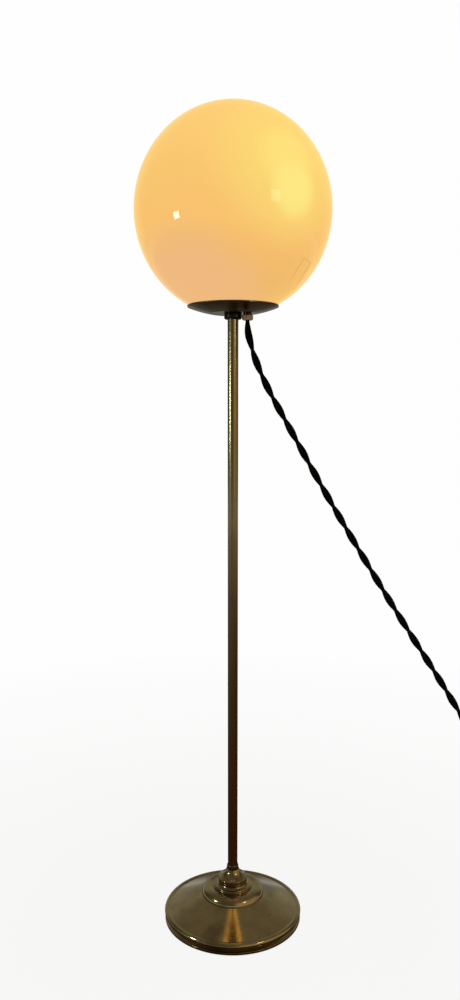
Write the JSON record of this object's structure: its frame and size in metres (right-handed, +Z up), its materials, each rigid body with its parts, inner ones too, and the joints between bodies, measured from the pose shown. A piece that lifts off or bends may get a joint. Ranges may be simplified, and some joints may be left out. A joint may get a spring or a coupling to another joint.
{
  "type": "floor lamp",
  "caption": "Slim floor lamp: stepped round brass foot, straight brass pole and an opal glass ball standing in a shallow dish, with a twisted cord from a bush under the dish.",
  "frame": {"origin": "on the floor, at the middle of the round foot", "axes": "+Z up along the pole; +X to the side that the cord leaves; -Y towards the viewer of the picture"},
  "size_m": [0.6543, 0.225, 0.9981],
  "materials": {
    "aged_brass": "polished brass gone brown with age",
    "dark_brass": "dark bronze patina, satin",
    "black_gloss": "glossy black",
    "felt": "dark green felt",
    "cast_iron": "rough sand-cast, painted black",
    "plated_steel": "zinc plated",
    "seat_cork": "soft pale felt ring",
    "opal_glass": "warm opal glass, glossy, lit from inside",
    "tan_plastic": "tan bush",
    "bakelite": "dark brown moulding",
    "porcelain": "unglazed porcelain",
    "bright_brass": "plain brass",
    "bulb_metal": "rolled cap",
    "bulb_black_glass": "black glass insulator",
    "bulb_glass": "frosted",
    "filament": "tungsten wire",
    "cord_fabric": "black braided rayon",
    "plug_plastic": "black moulding"
  },
  "bodies": {
    "stand": {"base_shell": "aged_brass", "cushion_ring": "aged_brass", "pole_cup": "aged_brass", "pole_tube": "aged_brass", "pole_ring": "dark_brass", "dish": "dark_brass", "neck_collar": "black_gloss", "grip_stud": "black_gloss", "base_felt": "felt", "base_weight": "cast_iron", "base_washer": "plated_steel", "base_nut": "plated_steel", "base_nipple": "plated_steel", "top_nipple": "plated_steel", "holder_nut": "plated_steel", "globe_holder": "plated_steel", "grip_nut": "plated_steel", "terminal_screws": "plated_steel", "plug_screw": "plated_steel", "globe_seat": "seat_cork", "grip_bush": "tan_plastic", "holder_cap": "bakelite", "holder_sleeve": "bakelite", "holder_insert": "porcelain", "holder_thread": "bright_brass", "holder_contact": "bright_brass", "plug_pins": "bright_brass", "wire_live": "cord_fabric", "wire_neutral": "cord_fabric", "cord_lead": "cord_fabric", "cord_coil": "cord_fabric", "cord_tail": "cord_fabric", "plug_relief": "plug_plastic", "plug_body": "plug_plastic"},
    "globe": {"globe": "opal_glass"},
    "bulb": {"bulb_cap": "bulb_metal", "bulb_insulator": "bulb_black_glass", "bulb_tip": "bulb_metal", "bulb_glass": "bulb_glass", "bulb_stem": "bulb_glass", "bulb_filament": "filament"}
  },
  "joints": [
    {"name": "globe_lift", "type": "slide", "parent": "stand", "child": "globe", "axis": [0, 0, 1], "range_m": [0, 0.18]},
    {"name": "bulb_turn", "type": "hinge", "parent": "stand", "child": "bulb", "pos_m": [0, 0, 0.815], "axis": [0, 0, 1], "range_deg": [0, 900]}
  ]
}
